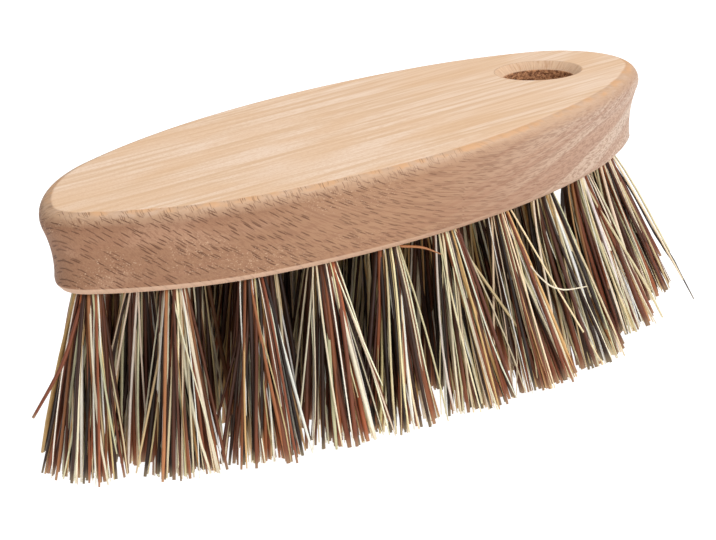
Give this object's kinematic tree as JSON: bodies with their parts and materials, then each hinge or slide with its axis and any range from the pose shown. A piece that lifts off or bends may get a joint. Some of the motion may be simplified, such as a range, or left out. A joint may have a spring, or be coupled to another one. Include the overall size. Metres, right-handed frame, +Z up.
{
  "type": "scrub brush",
  "caption": "Oval hand scrub brush: beech block with a finger cove and hanging hole, and splayed tufts of mixed plant fibre.",
  "frame": {"origin": "on the ground under the middle of the brush, at the level of the trimmed fibre tips", "axes": "+X along the block towards the end with the hanging hole, +Y across the block, +Z up from the tips to the top of the block"},
  "size_m": [0.2032, 0.0916, 0.0622],
  "materials": {
    "beech": "satin",
    "plant_fibre": "matte",
    "anchor_wire": "satin"
  },
  "bodies": {
    "root": {"anchor_wires": "anchor_wire", "block": "beech", "edge_tuft_01": "plant_fibre", "edge_tuft_02": "plant_fibre", "edge_tuft_03": "plant_fibre", "edge_tuft_04": "plant_fibre", "edge_tuft_05": "plant_fibre", "edge_tuft_06": "plant_fibre", "edge_tuft_07": "plant_fibre", "edge_tuft_08": "plant_fibre", "edge_tuft_09": "plant_fibre", "edge_tuft_10": "plant_fibre", "edge_tuft_11": "plant_fibre", "edge_tuft_12": "plant_fibre", "edge_tuft_13": "plant_fibre", "edge_tuft_14": "plant_fibre", "edge_tuft_15": "plant_fibre", "edge_tuft_16": "plant_fibre", "edge_tuft_17": "plant_fibre", "edge_tuft_18": "plant_fibre", "edge_tuft_19": "plant_fibre", "edge_tuft_20": "plant_fibre", "inner_tuft_01": "plant_fibre", "inner_tuft_02": "plant_fibre", "inner_tuft_03": "plant_fibre", "inner_tuft_04": "plant_fibre", "inner_tuft_05": "plant_fibre", "inner_tuft_06": "plant_fibre", "inner_tuft_07": "plant_fibre", "inner_tuft_08": "plant_fibre", "inner_tuft_09": "plant_fibre", "inner_tuft_10": "plant_fibre", "inner_tuft_11": "plant_fibre", "inner_tuft_12": "plant_fibre", "inner_tuft_13": "plant_fibre", "inner_tuft_14": "plant_fibre", "inner_tuft_15": "plant_fibre", "inner_tuft_16": "plant_fibre", "inner_tuft_17": "plant_fibre", "inner_tuft_18": "plant_fibre", "inner_tuft_19": "plant_fibre", "inner_tuft_20": "plant_fibre"}
  },
  "joints": []
}
